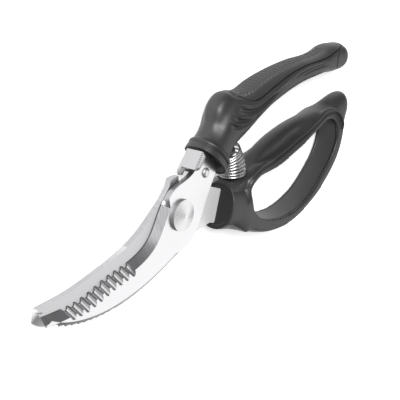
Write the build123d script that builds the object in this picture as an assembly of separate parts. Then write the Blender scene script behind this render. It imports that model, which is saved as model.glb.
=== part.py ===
from build123d import *
from math import cos, hypot, radians, sin
import os

# Poultry shears, closed, lying on their side. Millimetres. The pivot axis is Z, the blades point
# to -X and the handles to +X. The origin is on the pivot axis, on the surface the shears lie on.

# ---- Driving dimensions -------------------------------------------------------------------

# Overall
parting_height = 9.0       # rest plane up to the plane where the two blades slide on each other
blade_length = 95.0        # pivot axis to the blade tips
blade_drop = 31.3          # pivot axis to the lowest point of the front blade's back
handle_reach = 152.0       # pivot axis to the far end of the loop
handle_rise = 50.0         # pivot axis to the middle of the upper handle at its far end

# Blades
blade_thickness = 3.0
blade_gap = 0.3            # space between the blades, filled by the thrust washer
bevel_width = 4.0          # ground bevel of the front blade, seen square to the blade
back_chamfer_width = 2.3   # fish-scaler chamfer along the back of the front blade
back_chamfer_depth = 1.4
flute_count = 10
flute_pitch = 4.5
flute_radius = 1.7
flute_depth = 1.0
flute_overrun = 2.2        # how far a flute runs past the bevel onto the flat
flute_lean = 60.0          # degrees between a flute and the length of the blade
first_flute = 38.5         # pivot axis to the flute nearest to it, along X
scallop_count = 10
scallop_pitch = 4.2
scallop_radius = 3.0
scallop_depth = 0.5
back_bevel_width = 3.6     # plain bevel of the back blade
tip_slot_length = 3.4
tip_slot_width = 0.7
first_scallop = 50.0       # pivot axis to the scallop nearest to it, along X

# Pivot
bolt_shank_radius = 4.0
bolt_running_clearance = 0.05
bolt_head_radius = 7.8
bolt_head_wall = 1.6       # straight side of the head
bolt_head_cone = 1.7       # height of the low cone above it
thrust_washer_radius = 8.5
spring_washer_radius = 7.4
spring_washer_height = 0.9
flat_washer_radius = 7.8
flat_washer_thickness = 1.0
nut_across_flats = 12.0
nut_end_thickness = 1.2    # closed end of the cap nut

# Lock
lock_rivet_at = (19.2, 16.1)
lock_rivet_radius = 1.6
lock_head_radius = 2.6
lock_head_height = 1.1
lock_plate_thickness = 1.4
lock_side_clearance = 0.05
lock_bore_clearance = 0.05
lock_washer_radius = 3.2
lock_washer_thickness = 0.5
tooth_radius = 18.6        # top of the lock tooth on the back blade, from the pivot axis
tooth_start = 83.0         # degrees about the pivot, from +X
tooth_end = 101.0
nose_clearance = 0.35      # nose over the tooth when released
nose_drop = 1.9            # height of the nose under the lever's arm
nose_angles = (74.0, 81.5)
thumb_pad_length = 9.6     # up the slope of the tang
thumb_pad_width = 11.0     # across the blades
thumb_pad_foot = (4.4, 22.6)
thumb_pad_slope = 50.0

# Return spring
spring_at = (43.4, 14.4)
spring_radius = 6.9        # wire centre line
spring_wire = 1.4
spring_turns = 7
spring_length = 15.4
seat_clearance = 0.6       # around the coil, in the pockets of the handles
seat_boss_length = 7.0     # moulded boss under the upper handle that carries the spring's head
stud_radius = 4.2
stud_height = 3.0
stud_shank_radius = 1.5
stud_shank_length = 2.0

# Handles
collar_half_width = 10.3
loop_far_half_width = 7.4
liner_thickness = 1.8
liner_setback = 2.0        # liner edge below the loop's side face

# ---- Helpers --------------------------------------------------------------------------------

front_face = blade_gap / 2 + blade_thickness
blade_scale = (blade_length / 95.0, blade_drop / 31.3)
handle_scale = (handle_reach / 152.0, handle_rise / 50.0)


def stretched(points, scale):
    """Outline points drawn for the nominal size, brought to the sizes that are set above."""
    return [(x * scale[0], y * scale[1]) for x, y in points]


def at_height(points, height):
    return [(x, y, height) for x, y in points]


def slab(face, low, high):
    """A flat piece between two heights."""
    return extrude(Pos(0, 0, low) * face, high - low)


def disc(radius, low, high, centre=(0, 0)):
    return Pos(centre[0], centre[1], low) * extrude(Circle(radius), high - low)


def outline(*runs):
    """A closed face from runs of points: two points give a straight edge, more give a curve."""
    edges = [Line(*run) if len(run) == 2 else Spline(*run) for run in runs]
    return make_face(edges)


def polar(radius, angle):
    return (radius * cos(radians(angle)), radius * sin(radians(angle)))


def inward(points, distance):
    """The same curve moved sideways, to the right of its direction of travel."""
    moved = []
    for i, (x, y) in enumerate(points):
        before = points[max(i - 1, 0)]
        after = points[min(i + 1, len(points) - 1)]
        run = hypot(after[0] - before[0], after[1] - before[1])
        moved.append((x + distance * (after[1] - before[1]) / run, y - distance * (after[0] - before[0]) / run))
    return moved


# ---- Front blade: the lower jaw, with the tang of the upper handle -------------------------------

cutting_edge = stretched([(-93.5, -18.6), (-84, -19.2), (-70, -19.0), (-60, -17.0), (-50, -14.4), (-38, -12.9),
                          (-29, -10.6), (-21, -5.8), (-16, 1.0), (-11.4, 8.0)], blade_scale)
blade_back = stretched([(-3.5, -20.6), (-14, -24.4), (-28, -28.3), (-42, -30.6), (-56, -31.3), (-70, -29.9),
                        (-82, -26.8), (-91, -22.6)], blade_scale)
shoulder = [cutting_edge[-1], (-9.0, 10.8), (-4.4, 14.2), (2.0, 16.0), (10.0, 18.6)]
upper_tang = [(10.0, 18.6), (18.0, 26.6), (36.0, 39.4), (76.0, 49.2), (77.0, 44.6), (41.0, 31.6), (28.4, 15.4)]
tang_heel = [(28.4, 15.4), (24.6, 9.6), (19.0, 0.0), (15.4, -6.6), (8.5, -14.6), blade_back[0]]


def front_wire(height, bevel, chamfer):
    """Section of the front blade at one height, set back at the edge and at the back."""
    edge = at_height(inward(cutting_edge, bevel), height)
    back = at_height(inward(blade_back, chamfer), height)
    tip = [back[-1], edge[0]]
    root = [edge[-1], at_height([shoulder[1]], height)[0]]
    upper = Spline(*at_height(shoulder[1:], height))
    tang = [Line(a, b) for a, b in zip(at_height(upper_tang[:-1], height), at_height(upper_tang[1:], height))]
    heel = Spline(*(at_height(tang_heel[:-1], height) + [back[0]]))
    return Wire([Spline(*edge), Line(*root), upper] + tang + [heel, Spline(*back), Line(*tip)])


def front_blade():
    bevel_at_chamfer = bevel_width * (blade_thickness - back_chamfer_depth) / blade_thickness
    low = front_wire(blade_gap / 2, 0, 0)
    middle = front_wire(front_face - back_chamfer_depth, bevel_at_chamfer, 0)
    high = front_wire(front_face, bevel_width, back_chamfer_width)
    blade = Solid.make_loft([low, middle], ruled=True) + Solid.make_loft([middle, high], ruled=True)
    blade -= disc(bolt_shank_radius + bolt_running_clearance, 0, 2 * front_face)
    blade -= disc(lock_rivet_radius, 0, 2 * front_face, lock_rivet_at)
    return blade - flutes() - scallops()


def edge_height(x, points):
    """Height of an outline above X, between its points."""
    for (x0, y0), (x1, y1) in zip(points, points[1:]):
        if min(x0, x1) <= x <= max(x0, x1):
            return y0 + (y1 - y0) * (x - x0) / (x1 - x0)
    raise ValueError(f"x = {x} is beyond the outline")


def flutes():
    """Bone-gripping flutes: round-bottomed cuts that run down the bevel and out on the flat."""
    run = bevel_width / sin(radians(flute_lean)) + flute_overrun
    climb = blade_thickness + flute_depth
    cuts = []
    for i in range(flute_count):
        x = -(first_flute + i * flute_pitch) * blade_scale[0]
        start = Vector(x, edge_height(x, cutting_edge), blade_gap / 2 + flute_radius - flute_depth)
        way = Vector(run * cos(radians(flute_lean)), -run * sin(radians(flute_lean)), climb)
        cutter = Plane(origin=start - way * 0.3, z_dir=way) * extrude(Circle(flute_radius), way.length * 1.6)
        cuts.append(cutter)
    return cuts


def scallops():
    """Fish-scaler notches in the back of the front blade."""
    cuts = []
    for i in range(scallop_count):
        x = -(first_scallop + i * scallop_pitch) * blade_scale[0]
        centre = (x, edge_height(x, blade_back) - scallop_radius + scallop_depth)
        cuts.append(disc(scallop_radius, 0, 2 * front_face, centre))
    return cuts


# ---- Back blade: the upper jaw, with the lock tooth and the tang of the loop ---------------------

spine = stretched([(-95.0, -14.3), (-86, -14.1), (-76, -13.6), (-62, -11.5), (-48, -8.7), (-36, -5.3),
                   (-26, -1.0), (-17, 4.8), (-10.5, 9.2)], blade_scale)
back_edge = stretched([(-14, -15.5), (-28, -17.6), (-45, -20.0), (-62, -23.0), (-78, -23.6), (-89, -21.6),
                       (-94.2, -18.0)], blade_scale)
back_root = [(27.0, -13.2), (14.0, -14.6), (0.0, -15.4), back_edge[0]]
loop_tang = [(22.0, 8.2), (34.0, 3.0), (43.5, -0.5), (46.0, -6.0), (49.0, -15.0), (56.0, -21.0), (68.0, -25.3),
             (67.5, -27.8), (54.0, -24.0), (44.0, -19.0), (27.0, -13.2)]


def back_wire(height, bevel):
    """Section of the back blade at one height, set back at the cutting edge."""
    edge = at_height(inward(back_edge, -bevel), height)
    tooth_foot = (*polar(tooth_radius - 2.8, tooth_end + 6), height)
    tooth_front = (*polar(tooth_radius, tooth_end), height)
    tooth_top = (*polar(tooth_radius, (tooth_start + tooth_end) / 2), height)
    tooth_back = (*polar(tooth_radius, tooth_start), height)
    notch = (*polar(tooth_radius - 2.6, tooth_start - 1), height)
    upper = [notch] + at_height([polar(15.8, 66), (14.4, 11.0), loop_tang[0]], height)
    spine_run = at_height(spine, height)
    tang = at_height(loop_tang, height)
    return Wire([
        Spline(*spine_run),
        Line(spine_run[-1], tooth_foot),
        Line(tooth_foot, tooth_front),
        ThreePointArc(tooth_front, tooth_top, tooth_back),
        Line(tooth_back, notch),
        Spline(*upper),
        *[Line(a, b) for a, b in zip(tang, tang[1:])],
        Spline(*(at_height(back_root[:-1], height) + [edge[0]])),
        Spline(*edge),
        Line(edge[-1], spine_run[0]),
    ])


def back_blade():
    inner = -blade_gap / 2
    outer = inner - blade_thickness
    blade = Solid.make_loft([back_wire(outer, back_bevel_width), back_wire(inner, 0)], ruled=True)
    slot_at = Pos(spine[0][0], spine[0][1] - 1.6) * Rot(0, 0, -20)
    blade -= slab(slot_at * Rectangle(2 * tip_slot_length, tip_slot_width), outer - 1, inner + 1)
    return blade - disc(bolt_shank_radius, outer - 1, inner + 1)


# ---- Pivot: bolt, nut and washers ----------------------------------------------------------------

back_face = -blade_gap / 2 - blade_thickness
flat_washer_face = back_face - spring_washer_height - flat_washer_thickness


def pivot_bolt():
    """Big-headed bolt: a short straight wall, a low cone above it, and a plain shank."""
    top = front_face + bolt_head_wall + bolt_head_cone
    profile = Polyline(
        (0, -parting_height + nut_end_thickness), (bolt_shank_radius, -parting_height + nut_end_thickness),
        (bolt_shank_radius, front_face), (bolt_head_radius, front_face),
        (bolt_head_radius, front_face + bolt_head_wall), (1.2, top), (0, top), close=True)
    return revolve(Plane.XZ * make_face(profile), Axis.Z)


def thrust_washer():
    ring = Circle(thrust_washer_radius) - Circle(bolt_shank_radius + bolt_running_clearance)
    return slab(ring, -blade_gap / 2, blade_gap / 2)


def spring_washer():
    """Shallow cone washer that keeps the joint free of play, pressed almost flat."""
    low = back_face - spring_washer_height
    wall = 0.6
    profile = Polyline(
        (bolt_shank_radius + 0.1, back_face), (bolt_shank_radius + 0.1, back_face - wall),
        (spring_washer_radius, low), (spring_washer_radius, low + wall), (bolt_shank_radius + 0.6, back_face),
        close=True)
    return revolve(Plane.XZ * make_face(profile), Axis.Z)


def flat_washer():
    ring = Circle(flat_washer_radius) - Circle(bolt_shank_radius + 0.1)
    return slab(ring, flat_washer_face, flat_washer_face + flat_washer_thickness)


def pivot_nut():
    """Low cap nut. Its closed, flat end lies on the rest plane."""
    corner_radius = nut_across_flats / 2 / cos(radians(30))
    bevel = 0.8
    hexagon = RegularPolygon(nut_across_flats / 2, 6, major_radius=False)
    profile = Polyline(
        (0, flat_washer_face), (0, -parting_height), (corner_radius - bevel, -parting_height),
        (corner_radius, -parting_height + bevel), (corner_radius, flat_washer_face), close=True)
    nut = slab(hexagon, -parting_height, flat_washer_face) & revolve(Plane.XZ * make_face(profile), Axis.Z)
    return nut - disc(bolt_shank_radius, -parting_height + nut_end_thickness, flat_washer_face)


# ---- Thumb lock: a sheet-steel lever behind the front tang, its rivet and washers ----------------

lock_top = blade_gap / 2 - lock_side_clearance
lock_bottom = lock_top - lock_plate_thickness
nose_inner = tooth_radius + nose_clearance
arm_inner = nose_inner + nose_drop


def pad_corner(along, out):
    """A point on the thumb pad: along its slope, and out from its face towards the blades."""
    slope = radians(thumb_pad_slope)
    x = thumb_pad_foot[0] + along * cos(slope) + out * sin(slope)
    y = thumb_pad_foot[1] + along * sin(slope) - out * cos(slope)
    return (x, y)


def lock_lever():
    nose = [polar(arm_inner, nose_angles[0] - 2), polar(nose_inner, nose_angles[0]),
            polar(nose_inner, nose_angles[1]), polar(arm_inner + 0.6, nose_angles[1] + 1.5)]
    pad_root = [pad_corner(0, 0), pad_corner(thumb_pad_length, 0), pad_corner(thumb_pad_length, 1.4)]
    tail = [(22.9, 13.6), (28.0, 10.6), (34.0, 9.0), (34.6, 7.2), (28.6, 7.4), (19.2, 12.0), (15.2, 16.4)]
    plate = make_face(Polyline(*nose, *pad_root, *tail, close=True))
    lever = slab(plate, lock_bottom, lock_top)
    pad_face = make_face(Polyline(
        pad_corner(0, 0), pad_corner(thumb_pad_length, 0), pad_corner(thumb_pad_length, lock_plate_thickness),
        pad_corner(0, lock_plate_thickness), close=True))
    pad = slab(pad_face, lock_bottom, lock_bottom + thumb_pad_width)
    across = Plane(origin=(*pad_corner(0, 0), 0), z_dir=(sin(radians(thumb_pad_slope)),
                   -cos(radians(thumb_pad_slope)), 0), x_dir=(0, 0, 1))
    rounded = across * Pos(lock_bottom + thumb_pad_width / 2, -thumb_pad_length / 2) * RectangleRounded(
        thumb_pad_width, thumb_pad_length, 2.4)
    pad = pad & extrude(rounded, lock_plate_thickness)
    lever = lever + pad
    return lever - disc(lock_rivet_radius + lock_bore_clearance, lock_bottom - 1, lock_top + 1, lock_rivet_at)


def lock_rivet():
    """Dome head in front of the tang, shank through tang and lever, peened end over the washer."""
    end = lock_bottom - lock_side_clearance - lock_washer_thickness
    rivet = disc(lock_rivet_radius, end - 0.8, front_face)
    rivet += disc(lock_rivet_radius + 0.7, end - 0.8, end)
    profile = outline([(0, front_face), (lock_head_radius, front_face)],
                      [(lock_head_radius, front_face), (lock_head_radius * 0.85, front_face + lock_head_height * 0.6),
                       (0, front_face + lock_head_height)],
                      [(0, front_face + lock_head_height), (0, front_face)])
    head = revolve(Plane.XZ * profile, Axis.Z)
    return Pos(*lock_rivet_at) * (rivet + head)


def lock_washer():
    top = lock_bottom - lock_side_clearance
    ring = Circle(lock_washer_radius) - Circle(lock_rivet_radius)
    return Pos(*lock_rivet_at) * slab(ring, top - lock_washer_thickness, top)


# ---- Handles ---------------------------------------------------------------------------------------

# Stations of the upper handle: place of the section's centre, its direction, its half height in the
# plane of the blades and its half width across them.
upper_stations = [
    (23.0, 20.9, 42, 12.3, collar_half_width),
    (24.6, 22.4, 42, 12.0, collar_half_width),
    (27.4, 25.0, 43, 10.4, 9.3),
    (33.0, 30.6, 43, 10.2, 9.1),
    (38.0, 35.0, 36, 11.8, 9.6),
    (43.5, 38.2, 26, 12.7, 10.0),
    (50.0, 39.6, 20, 10.6, 9.9),
    (56.0, 41.2, 17, 9.2, 9.8),
    (67.0, 44.6, 14, 8.2, 9.6),
    (82.0, 47.5, 8, 7.3, 9.2),
    (100.0, 49.4, 3, 6.4, 8.6),
    (119.0, 49.6, 0, 5.9, 8.1),
    (130.0, 50.0, 1, 7.0, 8.0),
    (140.0, 49.8, -4, 7.3, 7.6),
    (146.0, 49.3, -6, 6.6, 6.8),
    (149.4, 48.9, -6, 4.2, 4.4),
]


def upper_handle_body():
    sections = []
    for x, y, turn, half_height, half_width in upper_stations:
        x, y = stretched([(x, y)], handle_scale)[0]
        way = Vector(cos(radians(turn)), sin(radians(turn)), 0)
        plane = Plane(origin=(x, y, 0), x_dir=(0, 0, 1), z_dir=way)
        sections.append((plane * Ellipse(half_width, half_height)).face())
    body = loft(sections)
    return body & slab(Pos(90, 40) * Rectangle(400, 400), -parting_height, 3 * collar_half_width)


grip_line = stretched([(47.0, 52.0), (49.5, 47.6), (54.0, 45.6), (60.0, 47.0), (72.0, 50.0), (84.0, 52.0),
                       (98.0, 53.0), (116.0, 52.6), (132.0, 52.4), (139.0, 52.4), (142.5, 54.4), (144.0, 60.0)],
                      handle_scale)


def above_grip_line():
    left, right = grip_line[0], grip_line[-1]
    top = 80.0 * handle_scale[1]
    cover = outline(grip_line, [right, (right[0], top)], [(right[0], top), (left[0], top)], [(left[0], top), left])
    return slab(cover, -2 * collar_half_width, 2 * collar_half_width)


loop_outer = stretched([(26.2, -16.2), (34, -18.6), (43, -21.4), (52, -25.0), (63, -29.0), (78, -31.2), (93, -30.0),
                        (108, -26.2), (124, -18.9), (137, -8.6), (145, 3.6), (150, 15.2), (152, 21.5), (149.6, 26.2),
                        (143, 26.2), (134, 24.0), (120, 23.1), (105, 23.0), (90, 21.2), (76, 17.8), (63, 12.6),
                        (55, 9.0), (47, 8.4), (40, 7.6), (33.8, 6.2)], handle_scale)
loop_hole = stretched([(50.8, -5), (52.0, 1.8), (57, 4.1), (72, 4.7), (90, 7.6), (106, 11.6), (119, 16.0),
                       (127, 17.8), (133, 16.4), (137, 12.0), (138, 6), (134.5, -2.6), (125, -11.9), (113, -20.0),
                       (99, -24.9), (85, -25.8), (71, -23.2), (58, -17.6), (52.6, -12)], handle_scale)
loop_widths = stretched([(20, collar_half_width), (46, collar_half_width), (62, 9.4), (92, 8.4),
                         (125, loop_far_half_width), (160, loop_far_half_width)], (handle_scale[0], 1))


def loop_envelope(setback):
    """Everything within the loop's width, which narrows towards the far end."""
    front = [(x, width - setback) for x, width in loop_widths]
    back = [(x, -min(width, parting_height) + setback) for x, width in loop_widths]
    side = make_face(Polyline(*front, *back[::-1], close=True))
    return extrude(Plane.XZ * side, 200, both=True)


def ring_face():
    return outline(loop_outer, [loop_outer[-1], loop_outer[0]])


def hole_face(growth=0.0):
    """The loop's hole, or the hole grown outwards to where the liner meets the handle."""
    turns = inward(loop_hole[-1:] + loop_hole + loop_hole[:1], -growth)
    return make_face(Spline(*turns[1:-1], periodic=True))


def loop_body():
    ring = slab(ring_face() - hole_face(), -2 * collar_half_width, 2 * collar_half_width)
    return ring & loop_envelope(0)


def loop_liner():
    plug = slab(hole_face(liner_thickness), -2 * collar_half_width, 2 * collar_half_width)
    plug &= loop_envelope(liner_setback)
    return plug - slab(hole_face(), -2 * collar_half_width, 2 * collar_half_width)


# ---- Return spring and its studs ---------------------------------------------------------------------

spring_lean = 18.0         # degrees that the spring's axis leans back from +Y
spring_way = Vector(-sin(radians(spring_lean)), cos(radians(spring_lean)), 0)
spring_foot = Vector(*spring_at, 0) - spring_way * (spring_length / 2)
spring_head = Vector(*spring_at, 0) + spring_way * (spring_length / 2)


def seat_plane(where, way):
    return Plane(origin=where, z_dir=way, x_dir=(0, 0, 1))


def return_spring():
    rise = spring_length - spring_wire - 0.1
    coil = Helix(pitch=rise / spring_turns, height=rise, radius=spring_radius)
    wire = Plane(origin=coil @ 0, z_dir=coil % 0) * Circle(spring_wire / 2)
    spring = sweep(wire, path=coil)
    return seat_plane(spring_foot, spring_way) * Pos(0, 0, spring_wire / 2 + 0.05) * spring


def pocket(where, way):
    """Space for the coil's end, cut square to the spring."""
    radius = spring_radius + spring_wire / 2 + seat_clearance
    return seat_plane(where, way) * extrude(Circle(radius), spring_length / 2)


def seat_boss():
    radius = spring_radius + spring_wire / 2
    return seat_plane(spring_head, spring_way) * extrude(Circle(radius), seat_boss_length)


def stud(where, way):
    """Turned stud pressed into the handle, with a boss that keeps the coil in place."""
    profile = Polyline(
        (0, -stud_shank_length), (stud_shank_radius, -stud_shank_length), (stud_shank_radius, 0),
        (stud_radius, 0), (stud_radius, stud_height - 1), (stud_radius - 1, stud_height), (0, stud_height),
        close=True)
    return seat_plane(where, way) * revolve(Plane.XZ * make_face(profile), Axis.Z)


# ---- Assembly ------------------------------------------------------------------------------------------

def build():
    blades = {"front_blade": front_blade(), "back_blade": back_blade()}
    studs = {"spring_stud_upper": stud(spring_head, -spring_way), "spring_stud_lower": stud(spring_foot, spring_way)}
    upper = upper_handle_body() + seat_boss() - pocket(spring_head, -spring_way) - studs["spring_stud_upper"]
    upper -= blades["front_blade"]
    cover = above_grip_line()
    liner = loop_liner()
    loop = loop_body() - liner - pocket(spring_foot, spring_way) - studs["spring_stud_lower"]
    loop -= blades["back_blade"]
    return {
        **blades,
        "pivot_bolt": pivot_bolt(),
        "thrust_washer": thrust_washer(),
        "spring_washer": spring_washer(),
        "flat_washer": flat_washer(),
        "pivot_nut": pivot_nut(),
        "lock_lever": lock_lever(),
        "lock_rivet": lock_rivet(),
        "lock_washer": lock_washer(),
        "return_spring": return_spring(),
        **studs,
        "upper_handle": upper - cover,
        "upper_grip": upper & cover,
        "loop_handle": loop,
        "loop_liner": liner,
    }


os.makedirs("parts", exist_ok=True)
for name, shape in build().items():
    export_step(Pos(0, 0, parting_height) * shape, f"parts/{name}.step")
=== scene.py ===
import math

import bpy
import numpy as np
from mathutils import Matrix, Vector


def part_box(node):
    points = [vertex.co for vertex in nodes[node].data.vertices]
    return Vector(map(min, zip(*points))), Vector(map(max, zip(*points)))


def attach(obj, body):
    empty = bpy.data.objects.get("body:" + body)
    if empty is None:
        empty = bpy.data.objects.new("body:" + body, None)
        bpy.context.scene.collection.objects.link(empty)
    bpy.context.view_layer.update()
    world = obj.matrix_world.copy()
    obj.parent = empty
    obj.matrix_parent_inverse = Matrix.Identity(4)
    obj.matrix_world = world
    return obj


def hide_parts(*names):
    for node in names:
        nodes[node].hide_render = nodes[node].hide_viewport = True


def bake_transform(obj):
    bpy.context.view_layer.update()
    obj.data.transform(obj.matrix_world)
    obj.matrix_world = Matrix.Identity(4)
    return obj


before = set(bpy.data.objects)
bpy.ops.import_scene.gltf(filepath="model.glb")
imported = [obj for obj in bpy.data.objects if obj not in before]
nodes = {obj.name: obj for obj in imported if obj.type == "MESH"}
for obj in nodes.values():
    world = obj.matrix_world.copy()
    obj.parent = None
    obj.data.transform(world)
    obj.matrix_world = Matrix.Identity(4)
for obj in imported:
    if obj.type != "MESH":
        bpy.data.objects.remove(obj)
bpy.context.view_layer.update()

# ---- Camera, floor and light ----------------------------------------------------------------
# The shears are seen from beyond the blade tips, from above and from the upper handle's side,
# on a plain white table under a soft key lamp, with a wider and weaker one on the far side.

ROUND = math.radians(53.0)
ABOVE = math.radians(20.5)
CAMERA_PLACE = Vector((-0.4123, 0.2032, 0.3340))
RIGHT = Vector((math.cos(ROUND), 0.0, math.sin(ROUND)))
UP = Vector((math.sin(ABOVE) * math.sin(ROUND), math.cos(ABOVE), -math.sin(ABOVE) * math.cos(ROUND)))
AHEAD = Vector((math.cos(ABOVE) * math.sin(ROUND), -math.sin(ABOVE), -math.cos(ABOVE) * math.cos(ROUND)))
camera_data = bpy.data.cameras.new("view")
camera_data.lens = 105.84
camera_data.sensor_width = 36.0
camera_data.clip_start = 0.01
camera = bpy.data.objects.new("view", camera_data)
camera.matrix_world = Matrix((
    (RIGHT.x, UP.x, -AHEAD.x, CAMERA_PLACE.x),
    (RIGHT.y, UP.y, -AHEAD.y, CAMERA_PLACE.y),
    (RIGHT.z, UP.z, -AHEAD.z, CAMERA_PLACE.z),
    (0, 0, 0, 1)))
bpy.context.scene.collection.objects.link(camera)
bpy.context.scene.camera = camera


class Sock:
    """A shader socket that takes part in sums: each operator adds its Math node."""

    def __init__(self, tree, socket):
        self.tree, self.socket = tree, socket

    def _math(self, operation, *values, clamp=False):
        node = self.tree.nodes.new("ShaderNodeMath")
        node.operation = operation
        node.use_clamp = clamp
        for slot, value in zip(node.inputs, values):
            if isinstance(value, Sock):
                self.tree.links.new(value.socket, slot)
            else:
                slot.default_value = value
        return Sock(self.tree, node.outputs[0])

    def __add__(self, other):
        return self._math("ADD", self, other)

    def __radd__(self, other):
        return self._math("ADD", other, self)

    def __sub__(self, other):
        return self._math("SUBTRACT", self, other)

    def __rsub__(self, other):
        return self._math("SUBTRACT", other, self)

    def __mul__(self, other):
        return self._math("MULTIPLY", self, other)

    def __rmul__(self, other):
        return self._math("MULTIPLY", other, self)

    def sine(self):
        return self._math("SINE", self)

    def clamp(self):
        return self._math("ADD", self, 0.0, clamp=True)


class Finish:
    """A procedural material: one Principled shader, and the nodes that feed it."""

    def __init__(self, name, **constants):
        self.material = bpy.data.materials.new(name)
        self.material.use_nodes = True
        self.tree = self.material.node_tree
        self.shader = self.tree.nodes["Principled BSDF"]
        for socket, value in constants.items():
            self.shader.inputs[socket.replace("_", " ")].default_value = value

    def node(self, kind, settings=None, **inputs):
        """Any node: its settings first, then the values or links of its sockets."""
        node = self.tree.nodes.new(kind)
        for key, value in (settings or {}).items():
            setattr(node, key, value)
        for key, value in inputs.items():
            by_number = key[0] == "i" and key[1:].isdigit()
            slot = node.inputs[int(key[1:])] if by_number else node.inputs[key]
            if isinstance(value, Sock):
                self.tree.links.new(value.socket, slot)
            else:
                slot.default_value = value
        return node

    def out(self, node, name=0):
        return Sock(self.tree, node.outputs[name])

    def place(self, scale=(1, 1, 1), turn=0.0):
        """Object coordinates, turned about Z and then stretched."""
        coordinates = self.out(self.node("ShaderNodeTexCoord"), "Object")
        turned = self.node("ShaderNodeMapping", Vector=coordinates, Rotation=(0, 0, turn))
        return self.out(self.node("ShaderNodeMapping", Vector=self.out(turned), Scale=scale))

    def noise(self, where, scale, detail=3.0, roughness=0.55):
        return self.out(self.node("ShaderNodeTexNoise", Vector=where, Scale=scale, Detail=detail,
                                  Roughness=roughness), "Fac")

    def feed(self, socket, value):
        self.tree.links.new(value.socket, self.shader.inputs[socket])

    def shade(self, amount, dark, light):
        """A colour between two, by an amount."""
        mix = self.node("ShaderNodeMix", {"data_type": "RGBA"})
        self.tree.links.new(amount.socket, mix.inputs[0])
        for slot, colour in ((mix.inputs[6], dark), (mix.inputs[7], light)):
            if isinstance(colour, Sock):
                self.tree.links.new(colour.socket, slot)
            else:
                slot.default_value = (*colour, 1.0)
        return Sock(self.tree, mix.outputs[2])

    def bump(self, height, distance, strength=1.0):
        node = self.node("ShaderNodeBump", Height=height, Distance=distance, Strength=strength)
        self.feed("Normal", self.out(node))


table = Finish("white_table", Base_Color=(0.93, 0.93, 0.93, 1), Roughness=0.55)
mottle = table.noise(table.place(), 14.0)
table.feed("Base Color", table.shade(mottle, (0.925, 0.925, 0.928), (0.94, 0.94, 0.94)))
table.shader.inputs["Emission Color"].default_value = (1, 1, 1, 1)
table.shader.inputs["Emission Strength"].default_value = 0.45
bpy.ops.object.select_all(action="DESELECT")
bpy.ops.mesh.primitive_plane_add(size=8.0, location=(0.5, 0, -0.0001))
floor = bpy.context.object
floor.name = "floor"
floor.data.materials.append(table.material)

world = bpy.data.worlds.new("studio")
bpy.context.scene.world = world
world.use_nodes = True
sky = world.node_tree.nodes["Background"]
sky.inputs["Color"].default_value = (1.0, 1.0, 1.0, 1)
sky.inputs["Strength"].default_value = 0.25
bpy.context.scene.view_settings.view_transform = "Standard"


def lamp(name, place, target, size, watts):
    data = bpy.data.lights.new(name, "AREA")
    data.shape = "DISK"
    data.size = size
    data.energy = watts
    light = bpy.data.objects.new(name, data)
    light.location = place
    light.rotation_euler = (Vector(target) - Vector(place)).to_track_quat("-Z", "Y").to_euler()
    bpy.context.scene.collection.objects.link(light)


MIDDLE = (0.03, 0.0, 0.01)
lamp("key", (-0.78, 0.78, 0.92), MIDDLE, 0.7, 30.0)
lamp("far", (1.0, -0.45, 0.78), MIDDLE, 1.5, 5.2)

# ---- Blades -----------------------------------------------------------------------------------
# Two ground stainless blades. The flats are finely lapped along the blade, the bevels and the
# scalloped back are left coarser from the wheel; the bevels are painted darker, a painted dark
# reflection, and the scallops lighter, a painted highlight.

FLUTES_END = -0.0355
TANG_START = 0.010
FLAT_ABOVE = 0.93


def ground_steel(name, flat, bevel, flat_roughness=0.24, turn=0.15, tang=0.0):
    steel = Finish(name, Metallic=1.0)
    lines = steel.noise(steel.place((40, 1400, 1400), turn), 1.0, 4.0)
    wheel = steel.noise(steel.place((1600, 90, 90), turn), 1.0, 3.0)
    cloud = steel.noise(steel.place(), 60.0, 2.0)
    normal = steel.out(steel.node("ShaderNodeTexCoord"), "Normal")
    lean = steel.out(steel.node("ShaderNodeSeparateXYZ", Vector=normal), "Z")
    level = ((lean - FLAT_ABOVE) * 20.0).clamp()
    flat_colour = steel.shade((lines * 0.6 + cloud * 0.4).clamp(), [c * 0.9 for c in flat], flat)
    # Painted dark reflection: the bevels are coloured far darker than the flats by which way they face; the
    # wheel streaks in it are real grinding marks.
    bevel_colour = steel.shade(wheel, [c * 0.72 for c in bevel], [min(1, c * 1.15) for c in bevel])
    along = steel.out(steel.node("ShaderNodeSeparateXYZ", Vector=normal), "X")
    place = steel.out(steel.node("ShaderNodeSeparateXYZ", Vector=steel.place()), "X")
    # Painted highlight: the flutes of the scalloped back, picked by which way they face, are painted almost
    # as light as the flats.
    flute_painted_light = ((along * along - 0.03) * 9.0).clamp() * ((FLUTES_END - place) * 900.0).clamp()
    bevel_colour = steel.shade(flute_painted_light, bevel_colour, [c * 0.95 for c in flat])
    # Painted light: the tang lies in the front blade's shadow and is painted light grey and less metallic so
    # that it looks brightly lit.
    tang_painted_light = ((place - TANG_START) * 600.0).clamp() * tang
    ground = steel.shade(level, bevel_colour, flat_colour)
    steel.feed("Base Color", steel.shade(tang_painted_light, ground, (0.72, 0.72, 0.72)))
    steel.feed("Metallic", 1.0 - 0.75 * tang_painted_light)
    steel.feed("Roughness", (flat_roughness + 0.10 * lines) * level + (0.30 + 0.16 * wheel) * (1 - level))
    steel.bump(lines * level + wheel * (1 - level), 0.00002, 0.5)
    return steel.material


def recoat(node, material):
    """Gives a carried-over piece its finish."""
    mesh = nodes[node].data
    mesh.materials.clear()
    mesh.materials.append(material)


# Each blade's second colour is its bevel, kept dark as a painted dark reflection.
recoat("front_blade", ground_steel("front_blade_steel", (0.86, 0.86, 0.87), (0.36, 0.36, 0.37)))
# The back blade's tang is painted light.
recoat("back_blade", ground_steel("back_blade_steel", (0.64, 0.64, 0.65), (0.40, 0.40, 0.41), 0.3,
                                  tang=1.0))

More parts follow.
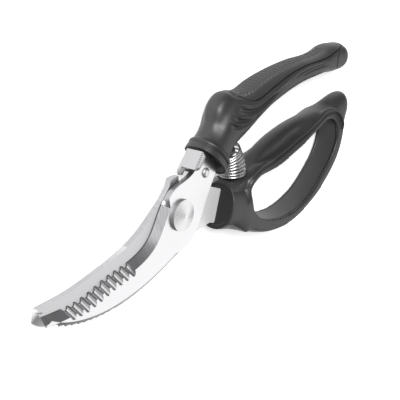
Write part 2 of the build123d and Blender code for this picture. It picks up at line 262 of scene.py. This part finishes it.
# ---- Upper handle -------------------------------------------------------------------------------
# Hard black moulding over the front blade's tang: a collar with a bead, a waisted neck, a hump
# that stops the hand, and a long grip. Moulded flow lines run back along both sides.

ROOT_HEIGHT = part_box("front_blade")[0].z * 1000 - 0.15


def smooth_run(rows, count, keys=2):
    """Evenly spaced rows on a smooth run through the given ones."""
    rows = np.array(rows, float)
    span = np.r_[0, np.cumsum(np.linalg.norm(np.diff(rows[:, :keys], axis=0), axis=1))]
    slope = np.gradient(rows, span, axis=0)
    at = np.linspace(0, span[-1], count)
    i = np.clip(np.searchsorted(span, at, side="right") - 1, 0, len(span) - 2)
    width = (span[i + 1] - span[i])[:, None]
    t = (at - span[i])[:, None] / width
    run = ((2 * t**3 - 3 * t**2 + 1) * rows[i] + (t**3 - 2 * t**2 + t) * width * slope[i]
           + (3 * t**2 - 2 * t**3) * rows[i + 1] + (t**3 - t**2) * width * slope[i + 1])
    return run, at


def near_path(points, path):
    """Distance of each point from a path, and how far along the path it is, from 0 to 1."""
    best = np.full(len(points), 1e9)
    place = np.zeros(len(points))
    steps = np.diff(path, axis=0)
    for i, (start, step) in enumerate(zip(path, steps)):
        t = np.clip((points - start) @ step / (step @ step), 0, 1)
        gap = np.linalg.norm(points - start - t[:, None] * step, axis=1)
        closer = gap < best
        best[closer] = gap[closer]
        place[closer] = (i + t[closer]) / len(steps)
    return best, place


def ease(x):
    x = np.clip(x, 0, 1)
    return x * x * (3 - 2 * x)


def moulded_line(points, path, width, height, fade_in=0.08, fade_out=0.3, drop=0.0):
    """Height of a raised or sunk line that follows a path on both sides of the handle."""
    both_sides = points.copy()
    both_sides[:, 2] = np.abs(both_sides[:, 2])
    path = np.array(path, float) - (0, drop, 0)
    run, _ = smooth_run(path, 50, 3)
    near_side = both_sides[points[:, 2] > 0]
    run = np.array([near_side[np.argmin(np.sum((near_side - stop) ** 2, axis=1))] for stop in run])
    for _ in range(6):
        run[1:-1] = (run[:-2] + 2 * run[1:-1] + run[2:]) / 4
    gap, place = near_path(both_sides, run)
    fade = ease(place / max(fade_in, 1e-6)) * ease((1 - place) / max(fade_out, 1e-6))
    return height * np.exp(-(gap / width) ** 2) * fade


# Stations: centre of the section, its direction, half height and half width.
HANDLE_STATIONS = [
    (23.0, 20.9, 42, 12.3, 10.3), (25.6, 23.3, 42, 12.0, 10.1), (28.4, 25.9, 43, 10.5, 9.4),
    (32.8, 31.0, 43, 10.7, 9.1), (37.0, 36.3, 37, 13.6, 9.6), (42.8, 39.7, 27, 14.2, 10.0),
    (50.0, 40.0, 20, 11.0, 9.9), (56.0, 41.2, 17, 9.2, 9.8), (67.0, 44.6, 14, 8.2, 9.6),
    (82.0, 47.5, 8, 7.3, 9.2), (100.0, 49.4, 3, 6.4, 8.6), (119.0, 49.6, 0, 5.9, 8.1),
    (126.0, 50.0, 1, 6.3, 8.0), (131.0, 50.4, 1, 7.4, 8.0), (139.0, 50.0, -3, 7.5, 7.7),
    (145.5, 49.4, -6, 6.6, 6.8), (148.3, 49.0, -6, 5.0, 5.2), (149.4, 48.9, -6, 3.2, 3.4)]
HANDLE_ROWS = 450
SQUARENESS = 2.25
handle_run, handle_at = smooth_run(HANDLE_STATIONS, HANDLE_ROWS)


def handle_point(row, angle, reach=1.0, push=0.0):
    """A point on the handle's plain surface: which row, and the angle round it from the near side."""
    x, y, turn, half_height, half_width = (np.interp(row, np.arange(HANDLE_ROWS), c) for c in handle_run.T)
    turn = np.radians(turn)
    cos_a, sin_a = np.cos(angle), np.sin(angle)
    across = reach * half_width * np.sign(cos_a) * np.abs(cos_a) ** (2 / SQUARENESS)
    up = reach * half_height * np.sign(sin_a) * np.abs(sin_a) ** (2 / SQUARENESS)
    return np.stack([x + push * np.cos(turn) - up * np.sin(turn),
                     y + push * np.sin(turn) + up * np.cos(turn), across], -1)


def rolled_sheet(name, rows, columns):
    """A fine flat grid from which a surface is rolled. Returns it with each vertex's row and column."""
    bpy.ops.object.select_all(action="DESELECT")
    bpy.ops.mesh.primitive_grid_add(x_subdivisions=rows - 1, y_subdivisions=columns - 1, size=2.0)
    sheet = bpy.context.object
    sheet.name = name
    flat = np.zeros(len(sheet.data.vertices) * 3)
    sheet.data.vertices.foreach_get("co", flat)
    flat = flat.reshape(-1, 3)
    return (sheet, np.rint((flat[:, 0] + 1) / 2 * (rows - 1)).astype(int),
            np.rint((flat[:, 1] + 1) / 2 * (columns - 1)).astype(int))


def outward(points, row, column, rows, columns, wrap):
    """Unit normals of a rolled surface, from its neighbours."""
    table_of = np.zeros((rows, columns, 3))
    table_of[row, column] = points
    along = np.gradient(table_of, axis=0)
    if wrap:
        around = np.roll(table_of, -1, 1) - np.roll(table_of, 1, 1)
        around[:, 0] = around[:, -1] = table_of[:, 1] - table_of[:, -2]
    else:
        around = np.gradient(table_of, axis=1)
    normal = np.cross(along, around)
    normal /= np.maximum(np.linalg.norm(normal, axis=2, keepdims=True), 1e-9)
    return normal[row, column]


SEAM = 0.00002


def settle(piece, points):
    """Gives a piece its final points, in millimetres about the parting plane, and closes its seams."""
    place = (points + (0, 0, ROOT_HEIGHT)) / 1000
    place[:, 2] = np.maximum(place[:, 2], 0.0)
    piece.data.vertices.foreach_set("co", place.ravel())
    piece.data.update()
    bpy.ops.object.select_all(action="DESELECT")
    piece.select_set(True)
    bpy.context.view_layer.objects.active = piece
    bpy.ops.object.mode_set(mode="EDIT")
    bpy.ops.mesh.select_all(action="SELECT")
    bpy.ops.mesh.remove_doubles(threshold=SEAM)
    bpy.ops.mesh.normals_make_consistent(inside=False)
    bpy.ops.object.mode_set(mode="OBJECT")
    bpy.ops.object.shade_smooth()
    bpy.context.view_layer.update()


GRIP_EDGE = [(46.4, 0.90), (49.3, 0.71), (54.1, 0.53), (59.8, 0.45), (65.9, 0.43), (75.9, 0.49),
             (87.2, 0.57), (99.6, 0.61), (110.0, 0.64), (119.4, 0.62), (126.9, 0.57), (132.6, 0.60),
             (138.7, 0.73), (144.0, 0.93)]


def grip_edge(x):
    """How high up the section the soft strip ends, as a share of the half height."""
    return np.interp(x, *zip(*GRIP_EDGE))


FLOW_LINES = [
    [(38.1, 46.0, 6.3), (40.8, 45.0, 8.0), (46.2, 43.4, 9.0), (52.4, 42.8, 9.5), (59.4, 44.1, 9.5),
     (66.7, 46.1, 9.4), (76.2, 48.1, 9.1), (88.3, 50.2, 8.5)],
    [(35.0, 43.1, 6.8), (37.9, 40.7, 8.9), (43.3, 39.4, 9.9), (50.4, 39.0, 9.8), (57.6, 40.4, 9.6),
     (64.9, 42.9, 9.5), (74.0, 45.5, 9.4), (86.0, 48.3, 8.8)],
    [(32.4, 40.2, 6.9), (34.7, 37.9, 8.8), (39.4, 36.5, 9.7), (45.2, 36.4, 9.8), (52.4, 37.6, 9.6),
     (59.6, 39.8, 9.5), (67.7, 42.4, 9.4), (80.0, 45.4, 9.0)]]
HUMP_VALLEY = [(21.5, 31.4, 5.0), (25.9, 35.4, 5.1), (29.1, 39.1, 5.1), (32.2, 42.9, 5.2),
               (35.9, 46.1, 4.9), (40.3, 48.9, 3.5), (44.5, 50.4, 0.5)]
END_GROOVES = [
    [(86.0, 49.4, 8.8), (94.0, 50.4, 8.5), (104.4, 51.2, 8.1), (114.7, 51.2, 7.9), (124.1, 51.0, 7.8)],
    [(91.7, 48.2, 8.8), (99.8, 49.5, 8.6), (110.1, 50.0, 8.3), (118.7, 49.9, 8.0), (126.0, 49.6, 8.0)]]


def handle_relief(points, row):
    """All that is moulded into the hard handle, as a height over its plain surface."""
    into = np.interp(row, np.arange(HANDLE_ROWS), handle_at)
    relief = -0.8 * np.exp(-((into - 3.3) / 0.45) ** 2) + 0.5 * np.exp(-((into - 5.0) / 1.0) ** 2)
    relief += moulded_line(points, HUMP_VALLEY, 3.6, -1.0, 0.35, 0.1)
    for line in FLOW_LINES:
        relief += moulded_line(points, line, 0.85, 1.15, 0.12, 0.5)
        relief += moulded_line(points, line, 0.75, -1.05, 0.12, 0.45, drop=1.75)
    for groove in END_GROOVES:
        relief += moulded_line(points, groove, 0.55, -0.55, 0.3, 0.2)
    rim = [(139.5 + 6.4 * math.cos(a), 49.4 + 6.4 * math.sin(a), 7.2) for a in np.linspace(1.9, 4.4, 9)]
    relief += moulded_line(points, rim, 0.6, -0.4, 0.1, 0.1)
    return relief


AROUND = 186
FACE_ROWS = 12
handle, row, column = rolled_sheet("upper_handle_moulding", HANDLE_ROWS + 2 * FACE_ROWS, AROUND + 1)
angle = column / AROUND * 2 * math.pi
body_row = np.clip(row - FACE_ROWS, 0, HANDLE_ROWS - 1)
from_front = np.clip(row / FACE_ROWS, 0, 1)
from_back = np.clip((HANDLE_ROWS + 2 * FACE_ROWS - 1 - row) / FACE_ROWS, 0, 1)
reach = np.where(row < FACE_ROWS, from_front ** 0.8, np.sin(from_back * math.pi / 2))
mouth_sink = 2.0 * (1 - ease((from_front - 0.72) / 0.2))
mouth_lip = 0.35 * ease((from_front - 0.75) / 0.2) * ease((1 - from_front) / 0.1)
push = np.where(row < FACE_ROWS, mouth_sink - mouth_lip, 0.35 * (1 - from_back))
plain = handle_point(body_row, angle, reach, push)
normal = outward(plain, row, column, HANDLE_ROWS + 2 * FACE_ROWS, AROUND + 1, True)
centre = handle_point(body_row, angle, 0.0)
if np.mean(np.sum(normal * (plain - centre), 1)) < 0:
    normal = -normal
on_body = (row >= FACE_ROWS) & (row < FACE_ROWS + HANDLE_ROWS)
relief = handle_relief(plain, body_row) * on_body
above_edge = np.sign(np.sin(angle)) * np.abs(np.sin(angle)) ** (2 / SQUARENESS) - grip_edge(plain[:, 0])
beside_grip = ease((plain[:, 0] - 45.2) / 1.0) * ease((145.0 - plain[:, 0]) / 1.0)
under_grip = ease(above_edge / 0.06 + 1) * beside_grip
relief = relief * (1 - under_grip) - 0.9 * under_grip
along_strip = ease((plain[:, 0] - 44.8) / 1.0) * ease((145.4 - plain[:, 0]) / 1.0)
relief -= 0.5 * np.exp(-((above_edge + 0.01) / 0.05) ** 2) * along_strip
settle(handle, plain + normal * relief[:, None])


def moulded_plastic(name, dark, light, roughness, grain=0.00003, mouth=None):
    """Black moulded plastic with a fine spark-eroded grain, faint flow marks and handled patches.
    Its mouth, the end face that the blade comes out of, gets painted shade: a deeper black, and rougher."""
    plastic = Finish(name, Specular_IOR_Level=0.5)
    fine = plastic.noise(plastic.place(), 1500.0, 2.0, 0.6)
    patch = plastic.noise(plastic.place((1, 1.6, 1)), 55.0, 3.0)
    flow = plastic.noise(plastic.place((0.25, 2.2, 1), 0.3), 160.0, 2.0)
    colour = plastic.shade((patch * 0.7 + fine * 0.3).clamp(), dark, light)
    if mouth:
        normal = plastic.out(plastic.node("ShaderNodeTexCoord"), "Normal")
        dot = plastic.node("ShaderNodeVectorMath", {"operation": "DOT_PRODUCT"}, i0=normal, i1=mouth)
        facing = plastic.out(dot, "Value")
        # Painted shade: the mouth face, picked by which way it faces, is painted near black, as if in shade
        # in its recess.
        mouth_painted_shade = ((facing - 0.9) * 16.0).clamp()
        colour = plastic.shade(mouth_painted_shade, colour, (0.003, 0.003, 0.003))
        roughness = roughness + 0.3 * mouth_painted_shade
    plastic.feed("Base Color", colour)
    plastic.feed("Roughness", roughness + 0.10 * patch + 0.05 * flow - 0.06)
    plastic.bump(fine + flow * 0.35, grain, 0.6)
    return plastic.material


HARD_BLACK = ((0.014, 0.014, 0.0145), (0.027, 0.027, 0.028), 0.42, 0.00006)
handle.data.materials.append(moulded_plastic("upper_plastic", *HARD_BLACK, mouth=(-0.743, -0.669, 0.0)))
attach(handle, "lever_half")
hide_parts("upper_handle")

# ---- Grip strip -----------------------------------------------------------------------------------
# Soft strip moulded over the top of the handle, from behind the hump to the raised end. Cross ribs
# for the palm run along it and stop short of its edges, each in a small round end.

STRIP_ROWS = 420
STRIP_COLUMNS = 96
RIB_PITCH = 2.8
strip, row, column = rolled_sheet("grip_strip", STRIP_ROWS, STRIP_COLUMNS)
STRIP_FRONT = 46.6
STRIP_BACK = 144.0
body_x = handle_run[:, 0]
first_row = np.argmin(np.abs(body_x - STRIP_FRONT))
last_row = np.argmin(np.abs(body_x - STRIP_BACK))
strip_row = first_row + (last_row - first_row) * row / (STRIP_ROWS - 1)
strip_x = np.interp(strip_row, np.arange(HANDLE_ROWS), body_x)
edge_angle = np.arcsin(np.clip(grip_edge(strip_x), 0, 1) ** (SQUARENESS / 2))
side = column / (STRIP_COLUMNS - 1) * 2 - 1
angle = math.pi / 2 + side * (math.pi / 2 - edge_angle)
plain = handle_point(strip_row, angle)
normal = outward(plain, row, column, STRIP_ROWS, STRIP_COLUMNS, False)
if np.mean(normal[:, 1]) < 0:
    normal = -normal
into = np.interp(strip_row, np.arange(HANDLE_ROWS), handle_at)
start = np.interp(first_row, np.arange(HANDLE_ROWS), handle_at)
length = np.interp(last_row, np.arange(HANDLE_ROWS), handle_at) - start
end_gap = np.minimum(into - start, start + length - into)
crown = 0.3 - 0.9 * (1 - ease((1 - np.abs(side)) / 0.07)) - 0.9 * (1 - ease(end_gap / 0.8))
rib_reach = np.interp(strip_x, (46, 52, 62, 70, 79, 90, 103, 120, 130),
                      (5.6, 6.0, 6.2, 5.9, 5.4, 4.6, 3.9, 3.0, 2.4))
over_end = (rib_reach - np.abs(plain[:, 2])) / 0.5
ribbed = ease(over_end) * ease((into - start - 2.2) / 0.6) * ease((128.0 - strip_x) / 2.0)
wave = (0.5 + 0.5 * np.cos(2 * math.pi * (into - start) / RIB_PITCH)) ** 1.6
rib_end = np.exp(-((rib_reach - 0.5 - np.abs(plain[:, 2])) / 0.55) ** 2)
crown -= ribbed * wave * (0.9 + 0.5 * rib_end)
settle(strip, plain + normal * crown[:, None])
strip.modifiers.new("wall", "SOLIDIFY").thickness = 0.0012
bpy.ops.object.modifier_apply(modifier="wall")
soft_black = moulded_plastic("soft_black_rubber", (0.016, 0.016, 0.0165), (0.030, 0.030, 0.031), 0.48,
                             0.00002)
strip.data.materials.append(soft_black)
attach(strip, "lever_half")
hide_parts("upper_grip")

# ---- Loop handle ------------------------------------------------------------------------------------
# Hard black moulding over the back blade's tang: an oval socket, a heavy upper bow with a hollow
# side and flow lines, a horn at its end, and a flat strap that closes the loop below.

bpy.ops.object.select_all(action="DESELECT")
loop = nodes["loop_handle"].copy()
loop.data = nodes["loop_handle"].data.copy()
loop.name = "loop_moulding"
for key in list(loop.keys()):
    del loop[key]
loop.parent = None
bpy.context.scene.collection.objects.link(loop)
loop.select_set(True)
bpy.context.view_layer.objects.active = loop
bpy.ops.object.mode_set(mode="EDIT")
bpy.ops.mesh.select_all(action="SELECT")
bpy.ops.mesh.remove_doubles(threshold=0.000005)
bpy.ops.object.mode_set(mode="OBJECT")
loop.data.materials.clear()
fine = loop.modifiers.new("fine", "REMESH")
fine.mode = "VOXEL"
fine.voxel_size = 0.00055
bpy.ops.object.modifier_apply(modifier="fine")


def points_of(piece):
    flat = np.zeros(len(piece.data.vertices) * 3)
    piece.data.vertices.foreach_get("co", flat)
    return flat.reshape(-1, 3) * 1000 - (0, 0, ROOT_HEIGHT)


def set_points(piece, points):
    place = (points + (0, 0, ROOT_HEIGHT)) / 1000
    place[:, 2] = np.maximum(place[:, 2], 0.0)
    piece.data.vertices.foreach_set("co", place.ravel())
    piece.data.update()


def soften(piece, weight, turns, factor=0.5):
    """Rounds a piece's edges where the weight is high."""
    group = piece.vertex_groups.new(name="soft")
    level = np.rint(np.clip(weight, 0, 1) * 10).astype(int)
    for step in range(1, 11):
        chosen = np.flatnonzero(level == step)
        if len(chosen):
            group.add(chosen.tolist(), step / 10, "REPLACE")
    smooth = piece.modifiers.new("soften", "SMOOTH")
    smooth.factor = factor
    smooth.iterations = turns
    smooth.vertex_group = "soft"
    bpy.ops.object.modifier_apply(modifier="soften")
    piece.vertex_groups.clear()


SOCKET = np.array((30.0, -5.0))
SOCKET_WAY = np.array((0.947, -0.321))
SOCKET_UP = np.array((0.321, 0.947))
SOCKET_HALF_HEIGHT = 12.0
SOCKET_HALF_WIDTH = 10.3
points = points_of(loop)
into = (points[:, :2] - SOCKET) @ SOCKET_WAY
rise = (points[:, :2] - SOCKET) @ SOCKET_UP
oval = 1 - ease((into - 9.0) / 13.0)
tall = SOCKET_HALF_HEIGHT + np.where(rise > 0, 1.6 * np.clip(into / 12, 0, 1), 0.0)
flat_norm = np.maximum(np.abs(rise) / tall, np.abs(points[:, 2]) / SOCKET_HALF_WIDTH)
round_norm = (np.abs(rise / tall) ** 2.2 + np.abs(points[:, 2] / SOCKET_HALF_WIDTH) ** 2.2) ** (1 / 2.2)
shrink = 1 + oval * (flat_norm / np.maximum(round_norm, 1e-6) - 1)
points[:, :2] += SOCKET_UP * (rise * (shrink - 1))[:, None]
points[:, 2] *= shrink
within = ease((0.84 - round_norm * shrink) / 0.06) * (into < 1.0)
points[:, :2] += SOCKET_WAY * (np.clip(10.0 - into, 0, 12) * 0.30 + 0.5 * within)[:, None]
set_points(loop, points)

HOLE_EDGE = [(50.8, -5), (52.0, 1.8), (57, 4.1), (72, 4.7), (90, 7.6), (106, 11.6), (119, 16.0),
             (127, 17.8), (133, 16.4), (137, 12.0), (138, 6), (134.5, -2.6), (125, -11.9),
             (113, -20.0), (99, -24.9), (85, -25.8), (71, -23.2), (58, -17.6), (52.6, -12), (50.8, -5)]
hole_run, _ = smooth_run(HOLE_EDGE, 160)


def on_upper_bow(points):
    """1 on the heavy upper bow and 0 on the strap below it."""
    return ease((points[:, 1] - np.interp(points[:, 0], (40, 142), (-11, 6))) / 7.0)


hole_gap, _ = near_path(points[:, :2], hole_run)
soften(loop, np.ones(len(points)), 6)
soften(loop, ease((hole_gap - 4.0) / 3.0) * ease((points[:, 0] - 44.0) / 8.0), 60)
points = points_of(loop)
hole_gap, _ = near_path(points[:, :2], hole_run)
nearest = np.argmin(np.sum((points[:, None, :2] - hole_run[None, ::4]) ** 2, axis=2), axis=1)
away = points[:, :2] - hole_run[::4][nearest]
away /= np.maximum(np.linalg.norm(away, axis=1, keepdims=True), 1e-6)
across = np.abs(points[:, 2]) / np.interp(points[:, 0], (46, 62, 92, 125), (10.3, 9.4, 8.4, 7.4))
upper_bow = on_upper_bow(points)
horn = ease((27.0 - np.hypot(points[:, 0] - 141.0, points[:, 1] - 26.0)) / 24.0)
behind_socket = ease((points[:, 0] - 44.0) / 10.0)
crown_depth = 1.6 + 3.4 * upper_bow * np.interp(points[:, 0], (66, 128), (1, 0.55))
crown_drop = crown_depth * np.clip(across, 0, 1.1) ** 3 * behind_socket
outer = ease((hole_gap - 4.0) / 6.0)
points[:, :2] += away * (outer * (horn * 4.0 * (1 - across**2) - crown_drop))[:, None]
set_points(loop, points)
soften(loop, outer * ease((points[:, 0] - 44.0) / 8.0), 110)
soften(loop, horn * outer, 120)
points = points_of(loop)
loop.data.update()
normal = np.zeros(len(points) * 3)
loop.data.vertices.foreach_get("normal", normal)
normal = normal.reshape(-1, 3)
hole_gap, _ = near_path(points[:, :2], hole_run)
ends_x = (46, 60, 76, 92, 116, 131, 138)
line_a = hole_gap - np.interp(points[:, 0], ends_x, (4.4, 4.9, 6.2, 6.6, 5.0, 5.0, 5.0))
line_b = hole_gap - np.interp(points[:, 0], ends_x, (2.2, 2.5, 3.3, 3.5, 2.5, 2.5, 2.4))
on_side = ease((np.abs(points[:, 2]) - 4.0) / 2.5) * on_upper_bow(points)
relief = 1.2 * np.exp(-(line_a / 0.8) ** 2) - 1.1 * np.exp(-((line_a + 1.5) / 0.7) ** 2)
relief += 0.9 * np.exp(-(line_b / 0.7) ** 2) - 0.8 * np.exp(-((line_b + 1.3) / 0.6) ** 2)
relief -= (1.9 * np.exp(-((line_a - 2.9) / 1.8) ** 2) * ease((108 - points[:, 0]) / 16)
           * ease((points[:, 0] - 46) / 8))
relief *= on_side * ease((hole_gap - 0.9) / 1.0)
relief *= 1 - ease((-points[:, 2] - 2.0) / 3.0) * ease((points[:, 0] - 90.0) / 10.0)
points = points + normal * relief[:, None]
set_points(loop, points)
bpy.ops.object.shade_smooth()
loop.data.materials.append(moulded_plastic("loop_plastic", *HARD_BLACK, mouth=(-0.947, 0.321, 0.0)))
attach(loop, "loop_half")
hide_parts("loop_handle")
recoat("loop_liner", soft_black)

# ---- Return spring ------------------------------------------------------------------------------
# Seven open coils of bright round spring wire between the two handles' studs. The handles meet at
# an angle, so the coils fan open on the outer side. The end coils are closed.

WIRE = 0.54
COIL = 6.85
TURNS = 7.4
SPRING_ROWS = 1100
SPRING_AROUND = 16
spring, row, column = rolled_sheet("spring_coils", SPRING_ROWS, SPRING_AROUND + 1)
t = np.clip((row - 2) / (SPRING_ROWS - 5), 0, 1)
rise = np.interp(t * TURNS, (0, 1, TURNS - 1, TURNS), (0.05, 0.14, 0.86, 0.95))
foot = np.array((45.6, 7.1))
head = np.array((41.0, 21.7))


def coil_lean(rise):
    """The axis's direction: it turns between the two closed ends and is straight within them."""
    return np.radians(97 + 26 * np.clip((rise - 0.14) / 0.72, 0, 1))


lean = coil_lean(rise)
axis_at = np.linspace(0, 1, 200)
axis_run = np.cumsum(np.stack([np.cos(coil_lean(axis_at)), np.sin(coil_lean(axis_at))], -1), 0)
axis_run -= axis_run[0]
axis_run = foot + axis_run * np.linalg.norm(head - foot) / np.linalg.norm(axis_run[-1])
middle = np.stack([np.interp(rise, axis_at, axis_run[:, k]) for k in (0, 1)], -1)
turn = t * TURNS * 2 * math.pi + 0.6
out_way = np.stack([np.sin(lean) * np.cos(turn), -np.cos(lean) * np.cos(turn), np.sin(turn)], -1)
up_way = np.stack([np.cos(lean), np.sin(lean), np.zeros(len(t))], -1)
around = column / SPRING_AROUND * 2 * math.pi
end_rows = np.minimum(row, SPRING_ROWS - 1 - row)
thick = WIRE * np.interp(end_rows, (0, 1, 2), (0, 0.85, 1))
settle(spring, np.c_[middle, np.zeros(len(t))] + out_way * (COIL + thick * np.cos(around))[:, None]
       + up_way * (thick * np.sin(around))[:, None])


def bright_steel(name, colour, roughness, scale=900.0):
    """Plain bright steel: fine drawn grain, faint clouding."""
    steel = Finish(name, Metallic=1.0)
    grain = steel.noise(steel.place((1, 1, 3)), scale, 3.0)
    cloud = steel.noise(steel.place(), 120.0, 2.0)
    drawn = (grain * 0.6 + cloud * 0.4).clamp()
    steel.feed("Base Color", steel.shade(drawn, [c * 0.82 for c in colour], colour))
    steel.feed("Roughness", roughness + 0.12 * grain + 0.04 * cloud)
    steel.bump(grain, 0.00001, 0.4)
    return steel.material


spring.data.materials.append(bright_steel("spring_steel", (0.62, 0.62, 0.63), 0.2))
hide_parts("return_spring")
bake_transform(spring)

# ---- Pivot --------------------------------------------------------------------------------------
# Turned steel bolt with a shallow cone on its head, plain washers and a closed hexagon cap nut; a
# pale slip washer keeps the blades from grinding on each other.


def turned_steel(name, colour, roughness, centre=(0.0, 0.0)):
    """Steel faced on a lathe: fine rings about a centre, and painted shade on the side walls."""
    steel = Finish(name, Metallic=1.0)
    where = steel.node("ShaderNodeMapping", Vector=steel.place(), Location=(-centre[0], -centre[1], 0),
                       Scale=(1, 1, 0.2))
    radius = steel.node("ShaderNodeVectorMath", {"operation": "LENGTH"}, i0=steel.out(where))
    rings = steel.out(steel.node("ShaderNodeTexNoise", {"noise_dimensions": "1D"},
                                 W=steel.out(radius, "Value"), Scale=5200.0, Detail=3.0), "Fac")
    cloud = steel.noise(steel.place(), 160.0, 2.0)
    face = steel.shade((rings * 0.6 + cloud * 0.4).clamp(), [c * 0.80 for c in colour], colour)
    normal = steel.out(steel.node("ShaderNodeTexCoord"), "Normal")
    level = steel.out(steel.node("ShaderNodeSeparateXYZ", Vector=normal), "Z")
    # Painted shade: side walls, picked by which way they face, are painted far darker and rougher.
    wall = (1.25 - 1.4 * level * level).clamp()
    steel.feed("Base Color", steel.shade(wall, face, [c * 0.3 for c in colour]))
    steel.feed("Roughness", roughness + 0.12 * rings + 0.05 * cloud + 0.35 * wall)
    steel.bump(rings, 0.000015, 0.6)
    return steel.material


recoat("pivot_bolt", turned_steel("bolt_steel", (0.88, 0.88, 0.89), 0.2))
recoat("pivot_nut", turned_steel("cap_nut_steel", (0.70, 0.70, 0.71), 0.24))
for washer in ("spring_washer", "flat_washer"):
    recoat(washer, turned_steel(washer + "_steel", (0.66, 0.66, 0.67), 0.26))
slip = Finish("slip_plastic", Roughness=0.4)
mottle = slip.noise(slip.place(), 700.0)
slip.feed("Base Color", slip.shade(mottle, (0.70, 0.69, 0.66), (0.78, 0.77, 0.74)))
slip.bump(mottle, 0.00001, 0.4)
recoat("thrust_washer", slip.material)

# ---- Lock and studs -------------------------------------------------------------------------------
# Pressed steel lock lever on a rivet through the front blade, with a spring washer behind it, and
# the two steel studs that the return spring sits on.

PAD_SLOPE = math.radians(50.0)
TREAD_PITCH = 0.0011
pad_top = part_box("lock_lever")[1].z
pressed = Finish("pressed_steel", Metallic=1.0)
grain = pressed.noise(pressed.place((1, 1, 4)), 500.0, 3.0)
where = pressed.node("ShaderNodeSeparateXYZ", Vector=pressed.place())
along = (pressed.out(where, "X") * math.cos(PAD_SLOPE) + pressed.out(where, "Y") * math.sin(PAD_SLOPE))
tread = 0.5 + 0.5 * (along * (2 * math.pi / TREAD_PITCH)).sine()
height = pressed.out(where, "Z")
border = ((height - (pad_top - 0.0021)) * 4000.0).clamp() * ((pad_top - 0.0005 - height) * 4000.0).clamp()
# Painted shade: the knurl grooves round the thumb pad are painted dark as well as bumped.
knurl_and_painted_shade = border * tread
pressed.feed("Base Color", pressed.shade(knurl_and_painted_shade, pressed.shade(grain, (0.34, 0.34, 0.345), (0.43, 0.43, 0.435)),
                                         (0.16, 0.16, 0.165)))
pressed.feed("Roughness", 0.28 + 0.12 * grain + 0.15 * knurl_and_painted_shade)
pressed.bump(grain * 0.1 - knurl_and_painted_shade, 0.0002, 0.7)
recoat("lock_lever", pressed.material)
RIVET_CENTRE = (0.0192, 0.0161)
recoat("lock_rivet", turned_steel("rivet_steel_face", (0.82, 0.82, 0.83), 0.25, RIVET_CENTRE))
recoat("lock_washer", turned_steel("lock_washer_steel", (0.62, 0.62, 0.63), 0.28, RIVET_CENTRE))
for stud in ("spring_stud_lower", "spring_stud_upper"):
    recoat(stud, bright_steel(stud + "_steel", (0.20, 0.20, 0.205), 0.38))
